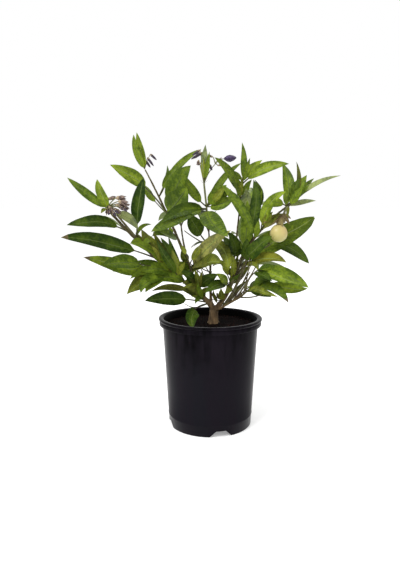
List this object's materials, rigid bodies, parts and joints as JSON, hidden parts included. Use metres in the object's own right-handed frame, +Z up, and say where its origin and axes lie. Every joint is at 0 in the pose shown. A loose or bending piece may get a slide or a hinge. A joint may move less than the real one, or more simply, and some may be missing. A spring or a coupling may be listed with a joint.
{
  "type": "potted fruit bush",
  "caption": "Potted pepino melon plant: a young open bush of long narrow leaves with a violet flower and a small cream fruit, in a round black nursery pot.",
  "frame": {"origin": "centre of the pot's flat underside, on the surface that the pot stands on", "axes": "+Z up along the pot's axis, -Y towards the plant's front, the side whose branches show the flower and the fruit, +X to the right seen from the front"},
  "size_m": [0.318, 0.2508, 0.3936],
  "materials": {
    "pot_plastic": "black moulded plastic, satin, faintly streaked and dusty",
    "soil_peat": "damp dark peat with reddish fibres and small chips",
    "bark": "young tan bark, olive-brown on the boughs",
    "foliage_deep": "deep green leaves with a soft sheen",
    "foliage_mid": "mid green leaves with a soft sheen",
    "foliage_olive": "olive and golden green leaves with a soft sheen"
  },
  "bodies": {
    "root": {"bough_back_left": "bark", "bough_back_right": "bark", "bough_centre": "bark", "bough_left_fork": "bark", "bough_left_high": "bark", "bough_left_low": "bark", "bough_right_fork": "bark", "bough_right_high": "bark", "bough_right_low": "bark", "bough_right_outer": "bark", "foliage_back_high": "foliage_deep", "foliage_back_left_mid": "foliage_mid", "foliage_back_left_top": "foliage_deep", "foliage_back_low_left": "foliage_mid", "foliage_back_low_right": "foliage_olive", "foliage_back_right_mid": "foliage_deep", "foliage_back_right_top": "foliage_olive", "foliage_centre_fan": "foliage_deep", "foliage_centre_hang": "foliage_deep", "foliage_centre_top": "foliage_olive", "foliage_crown_left": "foliage_mid", "foliage_crown_right": "foliage_olive", "foliage_fork_left": "foliage_deep", "foliage_fork_right": "foliage_mid", "foliage_front_blue": "foliage_mid", "foliage_front_hang": "foliage_olive", "foliage_front_tan": "foliage_deep", "foliage_high_arch": "foliage_olive", "foliage_high_broad": "foliage_deep", "foliage_high_inner": "foliage_mid", "foliage_high_left": "foliage_mid", "foliage_high_tip": "foliage_deep", "foliage_left_arch": "foliage_mid", "foliage_left_droop": "foliage_olive", "foliage_left_foot": "foliage_olive", "foliage_left_gold": "foliage_mid", "foliage_left_inner": "foliage_deep", "foliage_left_long": "foliage_deep", "foliage_left_skirt": "foliage_mid", "foliage_left_tip": "foliage_deep", "foliage_left_upright": "foliage_olive", "foliage_low_bright": "foliage_mid", "foliage_low_droop": "foliage_olive", "foliage_outer_mid": "foliage_mid", "foliage_outer_side": "foliage_deep", "foliage_outer_up": "foliage_olive", "foliage_pot_leaf": "foliage_olive", "foliage_right_back": "foliage_olive", "foliage_right_gold": "foliage_deep", "foliage_right_hang": "foliage_olive", "foliage_right_long": "foliage_mid", "foliage_right_olive": "foliage_deep", "foliage_right_top": "foliage_mid", "pot": "pot_plastic", "soil": "soil_peat", "trunk": "bark"}
  },
  "joints": []
}
